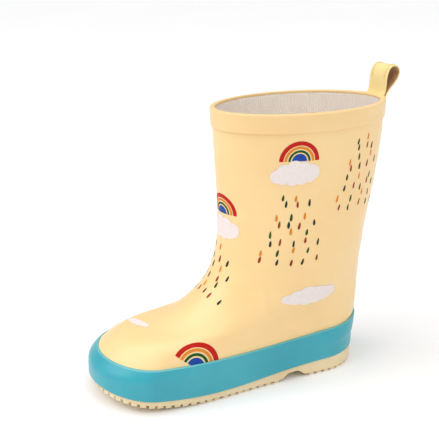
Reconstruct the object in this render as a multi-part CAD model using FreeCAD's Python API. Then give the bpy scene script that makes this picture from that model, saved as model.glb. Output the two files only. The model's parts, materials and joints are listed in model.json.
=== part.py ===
import FreeCAD, Part
import math
import os

# Child's pull-on rubber rain boot for the left foot. Millimetres.
# +Z is up, the toe points to -Y and the outer side of the foot is +X.
# Every wall of the boot is a layer of one last-shaped surface: "row" runs from the
# feather line (0) over instep and ankle to the top edge (1), and "angle" runs round
# the boot from the toe (0) over the outer side to the heel (pi) and back.

os.makedirs("parts", exist_ok=True)
Vec = FreeCAD.Vector

# ---- driving sizes ----
foot_length = 180.0        # outsole length that the foot plan is scaled from
leg_height = 176.0         # height that the shaft above the ankle reaches
foot_height = 176.0        # height that the foot's own levels are scaled from
ankle_share = 0.33         # level where the foot ends and the shaft begins
ball_width = 68.0          # width of the upper across the ball of the foot
toe_skew = 9.5             # sideways shift of the toe towards the inner side
toe_rise = 9.0             # lift of the outsole tip above the floor
sheet = 1.4                # rubber upper sheet
ply = 0.7                  # reinforcing ply over the forefoot
puff = 0.8                 # toe puff
counter = 1.2              # heel counter
lining = 0.7               # knitted lining
tape = 0.4                 # tape over the lining seam
bond = 0.12                # gap left between two cemented layers
foxing = 2.5               # foxing band round the foot
collar = 0.9               # collar band round the top edge
collar_height = 12.2
strip = 0.8                # strip over the back seam
strip_width = 9.0
turn_radius = 6.0          # bend of the upper under the foot
turned_edge = 8.0          # width of the upper's turned-in margin
welt = 1.1                 # outsole edge standing out under the foxing
lug_depth = 1.7            # tread depth
lug_pitch = 5.3            # spacing of the edge lugs
board = 1.8                # insole board
shank_thick = 1.2
shank_width = 13.0
footbed_foam_thick = 3.4
footbed_cover_thick = 0.7
footbed_play = 1.9         # gap between footbed edge and lining
loop_width = 17.5          # pull loop strap width
loop_height = 18.0         # from hinge line to the top of the loop
loop_depth = 9.4           # outside depth of the loop
loop_lean = 20.0           # backward lean of the loop, degrees
loop_strap = 1.2           # loop strap thickness
loop_play = 0.6            # gap between the loop and the collar below it
loop_set_back = 1.0        # how far the loop's foot stands behind its tail
tail_strap = 0.9           # loop tail under the collar band
stitch_thick = 0.5
joint_gap = 0.3            # gap where two edges meet end to end

# ---- last shape: row, front y, front z, back y, back z, half width, roundness ----
# y as a share of foot_length, half width of ball_width / 2, z of foot_height up to the
# ankle and of leg_height above it.
stations = [
    (0.00, -0.527, 0.109, 0.443, 0.109, 0.965, 0.00),
    (0.10, -0.512, 0.148, 0.453, 0.150, 0.990, 0.02),
    (0.20, -0.438, 0.216, 0.474, 0.239, 0.920, 0.45),
    (0.32, -0.290, 0.248, 0.480, 0.330, 0.905, 0.85),
    (0.44, -0.132, 0.370, 0.484, 0.428, 0.915, 1.00),
    (0.55, -0.080, 0.514, 0.494, 0.538, 0.960, 1.00),
    (0.75, -0.083, 0.749, 0.534, 0.760, 0.985, 1.00),
    (1.00, -0.095, 0.983, 0.541, 0.988, 1.120, 1.00),
]
plan_width = [(0.0, 0.98), (0.30, 1.0), (0.58, 0.85), (0.85, 0.83), (1.0, 0.83)]
toe_share = 0.15           # share of the length taken by the toe curve
heel_share = 0.175         # share of the length taken by the heel curve
band_foot = [(-0.53, 11.6), (-0.36, 7.6), (-0.20, 5.6), (-0.03, 6.0), (0.16, 8.8), (0.48, 10.4)]
band_tall = [(-0.53, 17.4), (-0.20, 22.2), (0.16, 20.6), (0.48, 22.2)]
sole_cover = 3.0           # how far the band overlaps the outsole edge

round_steps = 72
half_turn = math.pi


def slopes(knots, values):
    """Slopes of the natural cubic spline through the given values."""
    count = len(knots)
    steps = [knots[i + 1] - knots[i] for i in range(count - 1)]
    low = [0.0] * count
    mid = [2.0] * count
    high = [0.0] * count
    right = [0.0] * count
    high[0] = 1.0
    right[0] = 3.0 * (values[1] - values[0]) / steps[0]
    low[-1] = 1.0
    right[-1] = 3.0 * (values[-1] - values[-2]) / steps[-1]
    for i in range(1, count - 1):
        low[i] = steps[i]
        mid[i] = 2.0 * (steps[i - 1] + steps[i])
        high[i] = steps[i - 1]
        before = (values[i] - values[i - 1]) / steps[i - 1]
        after = (values[i + 1] - values[i]) / steps[i]
        right[i] = 3.0 * (steps[i] * before + steps[i - 1] * after)
    for i in range(1, count):
        share = low[i] / mid[i - 1]
        mid[i] -= share * high[i - 1]
        right[i] -= share * right[i - 1]
    result = [0.0] * count
    result[-1] = right[-1] / mid[-1]
    for i in range(count - 2, -1, -1):
        result[i] = (right[i] - high[i] * result[i + 1]) / mid[i]
    return result


def curve(pairs):
    """Smooth function of one number through (knot, value) pairs."""
    knots = [pair[0] for pair in pairs]
    values = [pair[1] for pair in pairs]
    leans = slopes(knots, values)

    def value_at(place):
        place = min(max(place, knots[0]), knots[-1])
        cell = 0
        while cell < len(knots) - 2 and place > knots[cell + 1]:
            cell += 1
        span = knots[cell + 1] - knots[cell]
        t = (place - knots[cell]) / span
        keep = (1 + 2 * t) * (1 - t) ** 2
        move = t * t * (3 - 2 * t)
        bend = span * (t * (1 - t) ** 2 * leans[cell] - t * t * (1 - t) * leans[cell + 1])
        return keep * values[cell] + move * values[cell + 1] + bend

    return value_at


half_ball = ball_width / 2


def level(share):
    """Height of a level: the foot keeps its own size, the shaft takes up leg_height."""
    ankle = ankle_share * foot_height
    if share <= ankle_share:
        return share * foot_height
    return ankle + (share - ankle_share) / (1 - ankle_share) * (leg_height - ankle)


def along_foot(share):
    return share * foot_length


measures = [along_foot, level, along_foot, level, lambda share: share * half_ball, float]
station_curves = []
for column in range(6):
    pairs = [(station[0], measures[column](station[column + 1])) for station in stations]
    station_curves.append(curve(pairs))
plan_curve = curve(plan_width)
band_foot_curve = curve([(share * foot_length, z) for share, z in band_foot])
band_tall_curve = curve([(share * foot_length, z) for share, z in band_tall])


feather_front = station_curves[1](0.0)
feather_back = station_curves[3](0.0)


def band_low(y):
    return band_foot_curve(y)


def band_high(y):
    return band_foot_curve(y) + band_tall_curve(y)


def sole_top(y):
    return band_foot_curve(y) + sole_cover


def tread_low(y):
    flat = -0.15 * foot_length
    if y >= flat:
        return 0.0
    return toe_rise * ((flat - y) / (0.53 * foot_length + flat)) ** 2


def end_curve(share):
    share = min(max(share, 0.0), 1.0)
    return math.sqrt(max(0.0, 1 - (1 - share) ** 2))


def skin(row, angle):
    """Point on the outer face of the upper."""
    front_y, front_z, back_y, back_z, half, oval = [each(row) for each in station_curves]
    share = 0.5 * (1 - math.cos(angle))
    plan = plan_curve(share) * end_curve(share / toe_share) * end_curve((1 - share) / heel_share)
    wide = (1 - oval) * plan + oval * abs(math.sin(angle))
    side = 1.0 if math.sin(angle) >= 0 else -1.0
    x = half * wide * side - (1 - oval) * toe_skew * (1 - share) ** 2
    y = front_y + (back_y - front_y) * share
    z = front_z + (back_z - front_z) * share
    feather = feather_front + (feather_back - feather_front) * share
    z += (sole_top(y) + turn_radius - feather) * max(0.0, 1 - row / 0.2) ** 2
    return Vec(x, y, z)


def frame(row, angle):
    """Point, outward unit normal and upward unit tangent."""
    low = max(row - 0.004, 0.0)
    high = min(row + 0.004, 1.0)
    up = (skin(high, angle) - skin(low, angle)).normalize()
    along = skin(row, angle + 0.01) - skin(row, angle - 0.01)
    out = along.cross(up).normalize()
    return skin(row, angle), out, up


def flat_out(angle):
    """Level outward unit direction at the feather line."""
    out = frame(0.0, angle)[1]
    return Vec(out.x, out.y, 0).normalize()


def layer_point(row, angle, offset):
    point, out, up = frame(row, angle)
    return point + out * offset


def row_at_height(height, angle):
    low = 0.0
    high = 0.45
    for step in range(24):
        middle = (low + high) / 2
        if skin(middle, angle).z < height:
            low = middle
        else:
            high = middle
    return (low + high) / 2


full_turn = [2 * half_turn * i / round_steps for i in range(round_steps)]


# ---- spline faces through grids of points ----
def closed_poles(points):
    """Poles of the periodic cubic curve through equally timed points."""
    count = len(points)
    poles = list(points)
    for sweep in range(40):
        for i in range(count):
            poles[i] = points[i] * 1.5 - (poles[i - 1] + poles[(i + 1) % count]) * 0.25
    return poles


def open_poles(points):
    """Poles of the clamped natural cubic curve through equally timed points."""
    knots = list(range(len(points)))
    leans = [slopes(knots, [point[axis] for point in points]) for axis in range(3)]
    leans = [Vec(*triple) for triple in zip(*leans)]
    poles = [points[0], points[0] + leans[0] * (1 / 3)]
    for i in range(1, len(points) - 1):
        before = points[i - 1] + leans[i - 1] * (1 / 3)
        after = points[i] - leans[i] * (1 / 3)
        poles.append(after * 2 - before)
    poles.append(points[-1] - leans[-1] * (1 / 3))
    poles.append(points[-1])
    return poles


def clamped_knots(degree, pole_count):
    spans = pole_count - degree
    return [degree + 1] + [1] * (spans - 1) + [degree + 1], [float(i) for i in range(spans + 1)]


def face_of(rows, closed):
    """Face through rows of points; two rows give a ruled face."""
    across = closed_poles if closed else open_poles
    pole_rows = [across(row) for row in rows]
    degree = 1
    if len(pole_rows) > 2:
        degree = 3
        columns = [open_poles(list(column)) for column in zip(*pole_rows)]
        pole_rows = [list(row) for row in zip(*columns)]
    row_mults, row_knots = clamped_knots(degree, len(pole_rows))
    count = len(pole_rows[0])
    if closed:
        mults = [1] * (count + 1)
        knots = [float(i) for i in range(count + 1)]
    else:
        mults, knots = clamped_knots(3, count)
    surface = Part.BSplineSurface()
    surface.buildFromPolesMultsKnots(
        pole_rows, row_mults, mults, row_knots, knots, False, closed, degree, 3)
    return surface.toShape()


def solid_of(faces, name):
    shell = Part.Shell(faces)
    if not shell.isClosed():
        sewn = Part.makeCompound(faces)
        sewn.sewShape(0.001)
        shell = sewn.Shells[0]
    solid = Part.Solid(shell)
    if solid.Volume < 0:
        solid.reverse()
    if not solid.isValid():
        print("not valid:", name)
    return solid


def ring_solid(spans, name):
    """Closed ring; each span is a list of rows and shares its end rows with the next."""
    return solid_of([face_of(span, True) for span in spans], name)


def patch_solid(outer, inner, name):
    """Slab between two open grids of the same size."""
    faces = [face_of(outer, False), face_of(inner, False)]
    faces.append(face_of([outer[0], inner[0]], False))
    faces.append(face_of([outer[-1], inner[-1]], False))
    for end in (0, -1):
        edge_out = [row[end] for row in outer]
        edge_in = [row[end] for row in inner]
        faces.append(face_of([edge_out, edge_in], False))
    return solid_of(faces, name)


def rows_between(low, high, count):
    return [low + (high - low) * i / (count - 1) for i in range(count)]


def wall_rows(rows, offset_of):
    return [[layer_point(row, angle, offset_of(row, angle)) for angle in full_turn] for row in rows]


def wall_ring(low, high, count, outer_of, inner_of, name):
    """Wall layer right round the boot between two rows."""
    rows = rows_between(low, high, count)
    outer = wall_rows(rows, outer_of)
    inner = wall_rows(rows, inner_of)
    spans = [outer, [outer[-1], inner[-1]], inner, [inner[0], outer[0]]]
    return ring_solid(spans, name)


def wall_patch(rows, start_of, end_of, steps, outer, inner, name):
    """Wall layer over part of the turn, its ends set row by row."""
    grids = []
    for offset in (outer, inner):
        grid = []
        for row in rows:
            angles = rows_between(start_of(row), end_of(row), steps)
            grid.append([layer_point(row, angle, offset) for angle in angles])
        grids.append(grid)
    return patch_solid(grids[0], grids[1], name)


def smooth(share):
    share = min(max(share, 0.0), 1.0)
    return share * share * (3 - 2 * share)


parts = {}

# ---- upper sheet: wall, bend under the foot and turned-in margin ----
wall_levels = [0.02, 0.045, 0.075] + rows_between(0.11, 1.0, 26)
bends = [math.radians(angle) for angle in (22.5, 45.0, 67.5, 90.0)]
margins = rows_between(turned_edge / 3, turned_edge, 3)


def under_rows(offset):
    """Rows of the bend and margin, from the wall inward."""
    rows = []
    radius = turn_radius + offset
    for bend, margin in [(bend, 0.0) for bend in bends] + [(bends[-1], each) for each in margins]:
        row = []
        for angle in full_turn:
            start = skin(0.0, angle)
            out = flat_out(angle)
            reach = turn_radius - radius * math.cos(bend) + margin
            point = start - out * reach
            drop = sole_top(point.y) - sole_top(start.y) - radius * math.sin(bend)
            row.append(point + Vec(0, 0, drop))
        rows.append(row)
    return rows


def sheet_rows(offset):
    start = [[skin(0.0, angle) + flat_out(angle) * offset for angle in full_turn]]
    return under_rows(offset)[::-1] + start + wall_rows(wall_levels, lambda row, angle: offset)


outer = sheet_rows(0.0)
inner = sheet_rows(-sheet)
parts["upper_sheet"] = ring_solid(
    [outer, [outer[-1], inner[-1]], inner, [inner[0], outer[0]]], "upper_sheet")

# ---- reinforcing plies cemented inside the sheet ----
inside = -sheet - bond
puff_back = inside - puff
ply_front = puff_back - bond
ply_back = ply_front - ply
counter_back = inside - counter


def mirror_ends(angle_of):
    return (lambda row: -angle_of(row)), (lambda row: angle_of(row))


start, end = mirror_ends(lambda row: math.radians(70 - 90 * (row - 0.03)))
parts["toe_puff"] = wall_patch(
    rows_between(0.03, 0.235, 9), start, end, 31, inside, puff_back, "toe_puff")
start, end = mirror_ends(lambda row: math.radians(124 - 150 * (row - 0.03)))
parts["vamp_ply"] = wall_patch(
    rows_between(0.03, 0.42, 14), start, end, 41, ply_front, ply_back, "vamp_ply")
parts["heel_counter"] = wall_patch(
    rows_between(0.03, 0.40, 12),
    lambda row: half_turn - math.radians(48 - 30 * row),
    lambda row: half_turn + math.radians(48 - 30 * row),
    25, inside, counter_back, "heel_counter")

# ---- linings: foot lining passes inside the plies, leg lining lies on the sheet ----
seam_row = 0.56
leg_face = inside
foot_face = ply_back - bond


def lining_outer(row, angle):
    return leg_face + (foot_face - leg_face) * smooth((0.53 - row) / 0.09)


def lining_inner(row, angle):
    return lining_outer(row, angle) - lining


seam_half = 0.0012
parts["foot_lining"] = wall_ring(
    0.0, seam_row - seam_half, 22, lining_outer, lining_inner, "foot_lining")
parts["leg_lining"] = wall_ring(
    seam_row + seam_half, 0.996, 15, lining_outer, lining_inner, "leg_lining")
tape_face = leg_face - lining - bond
parts["lining_seam_tape"] = wall_ring(
    seam_row - 0.02, seam_row + 0.02, 4,
    lambda row, angle: tape_face, lambda row, angle: tape_face - tape, "lining_seam_tape")

# ---- foxing band, with its lap patch at the heel ----
band_back = bond
band_front = bond + foxing


def band_point(angle, share, offset, drop=0.0):
    """Point at a share of the band's height, on the wall or straight below it."""
    start = skin(0.0, angle)
    low = band_low(start.y)
    high = band_high(start.y)
    height = low + (high - low) * share + drop
    if height < start.z:
        point = start + flat_out(angle) * offset
    else:
        row = row_at_height(height, angle)
        point, out, up = frame(row, angle)
        level = Vec(out.x, out.y, 0).normalize()
        point = point + level * offset
    return Vec(point.x, point.y, height)


band_bevel = 0.9
feather_lift = sole_cover + turn_radius


def band_levels(low_count, high_count):
    """Shares of the band's height, with one row of shares along the feather line."""
    levels = [("foot", i / low_count) for i in range(low_count)]
    return levels + [("wall", i / high_count) for i in range(high_count + 1)]


def band_row(level, offset, drop=0.0):
    zone, part = level
    row = []
    for angle in full_turn:
        y = skin(0.0, angle).y
        break_share = feather_lift / band_tall_curve(y)
        share = part * break_share if zone == "foot" else break_share + part * (1 - break_share)
        row.append(band_point(angle, share, offset, drop))
    return row


levels = band_levels(3, 6)
bottom = levels[0]
top = levels[-1]
front_rows = [band_row(bottom, band_front, band_bevel)]
front_rows += [band_row(level, band_front) for level in levels[1:-1]]
front_rows += [band_row(top, band_front, -band_bevel * 0.6)]
back_rows = [band_row(level, band_back) for level in levels]
spans = [front_rows]
spans.append([front_rows[-1], band_row(top, band_front - band_bevel)])
spans.append([spans[-1][1], back_rows[-1]])
spans.append(back_rows)
spans.append([back_rows[0], band_row(bottom, band_front - band_bevel)])
spans.append([spans[-1][1], front_rows[0]])
parts["foxing_band"] = ring_solid(spans, "foxing_band")

patch_half = math.radians(15)
lap_thick = 0.6


def lap_grid(offset):
    grid = []
    for share in rows_between(0.09, 0.93, 8):
        angles = rows_between(half_turn - patch_half, half_turn + patch_half, 11)
        grid.append([band_point(angle, share, offset) for angle in angles])
    return grid


lap_face = band_front + bond
parts["foxing_heel_patch"] = patch_solid(
    lap_grid(lap_face + lap_thick), lap_grid(lap_face), "foxing_heel_patch")

# ---- collar band: wraps the top edge, bulging over the tail of the pull loop ----
heel_top, heel_out, heel_up = frame(1.0, half_turn)
back_radius = (half_ball * stations[-1][5]) ** 2 / (
    (stations[-1][3] - stations[-1][1]) * foot_length / 2)
tail_angle = (loop_width / 2) / back_radius * 0.72


def bulge(angle):
    away = abs(angle - half_turn)
    return (tail_strap + bond) * smooth((tail_angle * 1.75 - away) / (tail_angle * 0.6))


collar_low = 1.0 - collar_height / (heel_up.z * leg_height * 1.02)
cap_height = 0.9
cap_inside = leg_face - lining - 0.1


def edge_row(offset_of, lift):
    row = []
    for angle in full_turn:
        point, out, up = frame(1.0, angle)
        row.append(point + out * offset_of(angle) + up * lift)
    return row


collar_rows = rows_between(collar_low, 1.0, 6)
front_rows = wall_rows(collar_rows, lambda row, angle: bond + collar + bulge(angle))
back_rows = wall_rows(collar_rows, lambda row, angle: bond + bulge(angle))
round_over = 0.5
spans = [front_rows]
edge = edge_row(lambda angle: bond + collar + bulge(angle) - 0.1, cap_height - round_over)
spans.append([front_rows[-1], edge])
edge = edge_row(lambda angle: bond + collar + bulge(angle) - round_over, cap_height)
spans.append([spans[-1][1], edge])
edge = edge_row(lambda angle: cap_inside + round_over, cap_height)
spans.append([spans[-1][1], edge])
edge = edge_row(lambda angle: cap_inside, cap_height - round_over)
spans.append([spans[-1][1], edge])
edge = edge_row(lambda angle: cap_inside, bond)
spans.append([spans[-1][1], edge])
edge = edge_row(lambda angle: bond + bulge(angle), bond)
spans.append([spans[-1][1], edge])
spans.append([spans[-1][1], back_rows[-1]])
spans.append(back_rows)
spans.append([back_rows[0], front_rows[0]])
parts["collar_band"] = ring_solid(spans, "collar_band")

# ---- strip over the back seam, between the foxing and the collar band ----
strip_low = row_at_height(band_high(skin(0.0, half_turn).y) + joint_gap, half_turn) + 0.002
strip_high = collar_low - 0.003


def strip_grid(offset, narrow):
    grid = []
    for row in rows_between(strip_low, strip_high, 20):
        near = skin(row, half_turn - 0.05)
        far = skin(row, half_turn + 0.05)
        half = (strip_width / 2 - narrow) * 0.1 / near.distanceToPoint(far)
        angles = rows_between(half_turn - half, half_turn + half, 9)
        grid.append([layer_point(row, angle, offset) for angle in angles])
    return grid


parts["back_strip"] = patch_solid(
    strip_grid(bond + strip, 0.5), strip_grid(bond, 0.0), "back_strip")

# ---- tail of the pull loop, cemented under the collar band ----
tail_rows = rows_between(collar_low + 0.006, 1.0, 6)
parts["loop_tail"] = wall_patch(
    tail_rows,
    lambda row: half_turn - tail_angle,
    lambda row: half_turn + tail_angle,
    13, bond / 2 + tail_strap, bond / 2, "loop_tail")


# ---- flat layers under the foot, cut from profiles and plan outlines ----
def outline_face(offset, steps=96):
    points = []
    for i in range(steps):
        angle = 2 * half_turn * i / steps
        point = skin(0.0, angle) + flat_out(angle) * offset
        points.append(Vec(point.x, point.y, 0))
    spline = Part.BSplineCurve()
    spline.interpolate(Points=points, PeriodicFlag=True)
    return Part.Face(Part.Wire(spline.toShape()))


def side_profile(low_of, high_of, start_y, end_y, steps):
    """Slab between two height functions of y, straight across in x."""
    places = rows_between(start_y, end_y, steps)
    edges = []
    for height_of in (low_of, high_of):
        spline = Part.BSplineCurve()
        spline.interpolate(Points=[Vec(-80, y, height_of(y)) for y in places])
        edges.append(spline.toShape())
    for y in (start_y, end_y):
        ends = Vec(-80, y, low_of(y)), Vec(-80, y, high_of(y))
        edges.append(Part.makeLine(*ends))
    face = Part.Face(Part.Wire(Part.__sortEdges__(edges)))
    return face.extrude(Vec(160, 0, 0))


def foot_layer(low_of, high_of, offset, start_y, end_y, steps=24):
    prism = outline_face(offset).extrude(Vec(0, 0, 60))
    return prism.common(side_profile(low_of, high_of, start_y, end_y, steps)).Solids[0]


toe_end = -0.62 * foot_length
heel_end = 0.56 * foot_length
parts["insole_board"] = foot_layer(
    lambda y: sole_top(y) + sheet + bond,
    lambda y: sole_top(y) + sheet + bond + board,
    -turn_radius - 0.6, toe_end, heel_end)
bed_low = sheet + bond + board + bond
bed_inset = foot_face - lining - footbed_play
parts["footbed_foam"] = foot_layer(
    lambda y: sole_top(y) + bed_low,
    lambda y: sole_top(y) + bed_low + footbed_foam_thick,
    bed_inset, toe_end, heel_end)
cover_low = bed_low + footbed_foam_thick + 0.02
parts["footbed_cover"] = foot_layer(
    lambda y: sole_top(y) + cover_low,
    lambda y: sole_top(y) + cover_low + footbed_cover_thick,
    bed_inset, toe_end, heel_end)

filler_inset = -turn_radius - turned_edge - 0.6
filler_low = bond
filler_high = sheet - bond / 2
shank_front = -0.06 * foot_length
shank_back = 0.30 * foot_length
parts["forefoot_filler"] = foot_layer(
    lambda y: sole_top(y) + filler_low, lambda y: sole_top(y) + filler_high,
    filler_inset, toe_end, shank_front - joint_gap)
parts["heel_filler"] = foot_layer(
    lambda y: sole_top(y) + filler_low, lambda y: sole_top(y) + filler_high,
    filler_inset, shank_back + joint_gap, heel_end)
shank_block = Part.makeBox(shank_width, shank_back - shank_front, 60,
                           Vec(-shank_width / 2, shank_front, 0))
shank_slab = side_profile(
    lambda y: sole_top(y) + filler_low,
    lambda y: sole_top(y) + filler_low + shank_thick,
    shank_front - 5, shank_back + 5, 14)
parts["shank"] = shank_slab.common(shank_block).Solids[0]

# ---- outsole: core inside the foxing, standing-out edge, heel block and lugs ----
arch_front = 0.12 * foot_length
arch_back = 0.15 * foot_length
breast_back = 0.192 * foot_length
arch_thin = 3.2


def plate_low(y):
    """Underside of the outsole without its lugs."""
    tread = tread_low(y) + lug_depth
    arch = band_low(y) - arch_thin
    if y < arch_front:
        blend = smooth((y - arch_front + 6) / 6)
    else:
        blend = smooth((breast_back - y) / (breast_back - arch_back))
    return tread + (max(arch, tread) - tread) * blend


core = foot_layer(
    lambda y: band_low(y) - 0.6, lambda y: sole_top(y) - bond, -bond / 2, toe_end, heel_end)
edge = foot_layer(
    plate_low, lambda y: band_low(y) - 2 * bond, welt, toe_end, heel_end, 90)
outsole = core.fuse(edge)

lug_width = 3.5
lug_inset = 0.6            # how far the lugs stand back from the welt
lug_reach = 7.5
edge_places = []
walk = 0.0
last = None
for i in range(720):
    angle = 2 * half_turn * i / 720
    out = flat_out(angle)
    point = skin(0.0, angle) + out * (welt - lug_inset)
    if last is not None:
        walk += math.hypot(point.x - last.x, point.y - last.y)
    last = point
    if walk >= lug_pitch * (len(edge_places) + 0.5):
        edge_places.append((point, out))
lugs = []


def lug_box(point, out, wide, reach):
    """Upright block from the tread line up into the outsole, reaching inward."""
    low = tread_low(point.y - out.y * reach / 2)
    block = Part.makeBox(reach, wide, lug_depth + 1.2, Vec(-reach, -wide / 2, 0))
    block.rotate(Vec(0, 0, 0), Vec(0, 0, 1), math.degrees(math.atan2(out.y, out.x)))
    block.translate(Vec(point.x, point.y, low))
    return block


def on_arch(y):
    return arch_front - 5 < y < breast_back + 3


for point, out in edge_places:
    if not on_arch(point.y):
        lugs.append(lug_box(point, out, lug_width, lug_reach))
bar_pitch = 7.4
bar_width = 3.8
bar_edge = 12.5


def half_widths(y):
    """Inner ends of the tread bars at a given y."""
    ends = [0.0, 0.0]
    for i in range(1, 180):
        angle = half_turn * i / 180
        for side in (1, -1):
            point = skin(0.0, side * angle)
            if abs(point.y - y) < 2.4:
                ends[0] = min(ends[0], point.x)
                ends[1] = max(ends[1], point.x)
    return ends[0] + bar_edge, ends[1] - bar_edge


bar_y = -0.44 * foot_length
while bar_y < 0.38 * foot_length:
    left, right = half_widths(bar_y)
    if not on_arch(bar_y) and right - left > 8:
        for start_x, end_x in ((left, (left + right) / 2 - 1.4), ((left + right) / 2 + 1.4, right)):
            block = Part.makeBox(end_x - start_x, bar_width, lug_depth + 1.2,
                                 Vec(start_x, bar_y - bar_width / 2, tread_low(bar_y)))
            lugs.append(block)
    bar_y += bar_pitch
outsole = outsole.fuse(lugs)
parts["outsole"] = outsole.removeSplitter().Solids[0]


# ---- pull loop: strap folded to a teardrop, free to swing about its foot ----
hinge_radius = loop_strap + 0.1
hinge = heel_top + heel_out * (bond + tail_strap / 2 + loop_set_back)
hinge = Vec(0, hinge.y, heel_top.z + cap_height + loop_play + hinge_radius)


def loop_wire(shrink):
    """Teardrop outline in the plane x = 0, inset by shrink."""
    half = loop_depth / 2
    top = loop_height - half
    points = [Vec(0, -(half - shrink), top)]
    for turn in (150, 120, 90, 60, 30):
        angle = math.radians(turn)
        points.append(Vec(0, (half - shrink) * math.cos(angle), top + (half - shrink) * math.sin(angle)))
    points.append(Vec(0, half - shrink, top))
    foot = shrink * 3.2 - hinge_radius
    low = 0.36 * loop_height
    points.append(Vec(0, half * 0.74 - shrink, low + shrink * 0.4))
    points.append(Vec(0, half * 0.42 - shrink * 0.55, low * 0.38 + shrink * 1.7))
    points.append(Vec(0, 0, foot))
    points.append(Vec(0, -(half * 0.42 - shrink * 0.55), low * 0.38 + shrink * 1.7))
    points.append(Vec(0, -(half * 0.74 - shrink), low + shrink * 0.4))
    spline = Part.BSplineCurve()
    spline.interpolate(Points=points, PeriodicFlag=True)
    return Part.Wire(spline.toShape())


def loop_slab(shrink, wide):
    slab = Part.Face(loop_wire(shrink)).extrude(Vec(wide, 0, 0))
    slab.translate(Vec(-wide / 2, 0, 0))
    return slab


def lean_back(shape):
    shape.rotate(Vec(0, 0, 0), Vec(1, 0, 0), -loop_lean)
    shape.translate(hinge)
    return shape


strap = loop_slab(0.0, loop_width).cut(loop_slab(loop_strap, loop_width + 2))
parts["pull_loop"] = lean_back(strap.Solids[0])


# ---- stitches: two rows on the loop, one row on the lining seam tape ----
def thread(start, end):
    """Round stitch between two points."""
    along = end - start
    return Part.makeCylinder(stitch_thick / 2, along.Length, start, along)


stitch_side = loop_width / 2 - 2.4
stitch_foot = 0.42 * loop_height
course = [Vec(edge) for edge in loop_wire(-stitch_thick / 2 - 0.06).discretize(Number=73)]
loop_threads = []
for i in range(0, 72, 2):
    start, end = course[i], course[i + 1]
    if min(start.z, end.z) > stitch_foot:
        for x in (stitch_side, -stitch_side):
            loop_threads.append(thread(Vec(x, start.y, start.z), Vec(x, end.y, end.z)))
parts["loop_stitches"] = lean_back(Part.makeCompound(loop_threads))

seam_threads = []
thread_face = tape_face - tape - stitch_thick / 2 - 0.08
seam_steps = 120
for row in (seam_row - 0.011, seam_row + 0.011):
    for i in range(0, seam_steps, 2):
        angle = 2 * half_turn * i / seam_steps
        further = 2 * half_turn * (i + 1) / seam_steps
        seam_threads.append(thread(layer_point(row, angle, thread_face),
                                   layer_point(row, further, thread_face)))
parts["lining_seam_stitches"] = Part.makeCompound(seam_threads)

# ---- place the boot with its base centred on the origin and write the files ----
low = [1e9, 1e9, 1e9]
high = [-1e9, -1e9, -1e9]
for shape in parts.values():
    for point in shape.tessellate(0.05)[0]:
        for axis in range(3):
            low[axis] = min(low[axis], point[axis])
            high[axis] = max(high[axis], point[axis])
shift = Vec(-(low[0] + high[0]) / 2, -(low[1] + high[1]) / 2, -low[2])
for name, shape in parts.items():
    shape.translate(shift)
    shape.exportStep("parts/" + name + ".step")
hinge = hinge + shift
print("shift", [round(value, 3) for value in shift])
print("loop hinge", [round(value, 3) for value in hinge])
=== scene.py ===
import json
import math
import bmesh
import bpy
import numpy as np
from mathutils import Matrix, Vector


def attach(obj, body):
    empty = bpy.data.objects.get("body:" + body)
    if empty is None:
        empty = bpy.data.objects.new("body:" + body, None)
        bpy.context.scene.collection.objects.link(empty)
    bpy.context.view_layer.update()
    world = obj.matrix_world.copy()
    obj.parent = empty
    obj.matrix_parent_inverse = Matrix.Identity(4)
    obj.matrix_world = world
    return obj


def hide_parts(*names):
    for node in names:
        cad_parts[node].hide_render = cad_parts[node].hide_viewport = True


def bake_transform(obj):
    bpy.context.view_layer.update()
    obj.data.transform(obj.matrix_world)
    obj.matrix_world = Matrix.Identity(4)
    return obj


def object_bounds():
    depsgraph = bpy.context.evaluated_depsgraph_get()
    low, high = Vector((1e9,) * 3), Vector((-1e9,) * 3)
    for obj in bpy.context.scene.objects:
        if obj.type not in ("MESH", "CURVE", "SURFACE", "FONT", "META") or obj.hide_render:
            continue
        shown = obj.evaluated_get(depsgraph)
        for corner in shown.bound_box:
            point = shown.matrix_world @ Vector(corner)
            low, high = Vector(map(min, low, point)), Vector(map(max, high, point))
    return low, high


# The looks of a child's rubber rain boot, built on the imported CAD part.
# Lengths below are millimetres until mesh() turns them into metres. As in the CAD,
# "row" runs up the wall from the feather line (0) to the top edge (1), and "angle"
# runs round the boot from the toe (0) over the outer side to the heel (pi) and back.

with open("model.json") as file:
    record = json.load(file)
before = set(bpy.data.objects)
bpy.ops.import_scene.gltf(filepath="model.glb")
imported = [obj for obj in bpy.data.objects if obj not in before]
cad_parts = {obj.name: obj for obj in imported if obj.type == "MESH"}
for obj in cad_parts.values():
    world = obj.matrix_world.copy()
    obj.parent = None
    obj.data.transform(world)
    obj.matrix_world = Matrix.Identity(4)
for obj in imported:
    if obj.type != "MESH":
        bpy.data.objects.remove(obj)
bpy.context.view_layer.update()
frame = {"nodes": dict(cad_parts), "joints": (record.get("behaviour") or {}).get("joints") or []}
MM = 0.001
TURN = 2 * math.pi

# ---- sizes repeated from the CAD, except that the strap leans back 3 degrees more ----
FOOT_LENGTH = 180.0
LEG_HEIGHT = 176.0
BALL_WIDTH = 68.0
TOE_SKEW = 9.5
SHEET = 1.4
PLY = 0.7
PUFF = 0.8
LINING = 0.7
BOND = 0.12
FOXING = 2.5
COLLAR = 0.9
COLLAR_HEIGHT = 12.2
STRIP = 0.8
STRIP_WIDTH = 9.0
TURN_RADIUS = 6.0
SOLE_COVER = 3.0
BOARD = 1.8
FOAM_THICK = 3.4
COVER_THICK = 0.7
FOOTBED_PLAY = 1.9
CAP_HEIGHT = 0.9
CAP_INSIDE = 0.1
LOOP_WIDTH = 17.5
LOOP_HEIGHT = 18.0
LOOP_SET_BACK = 1.0
LOOP_DEPTH = 9.4
LOOP_LEAN = 23.0
LOOP_STRAP = 1.2
TAIL_STRAP = 0.9
SEAM_ROW = 0.56

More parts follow.
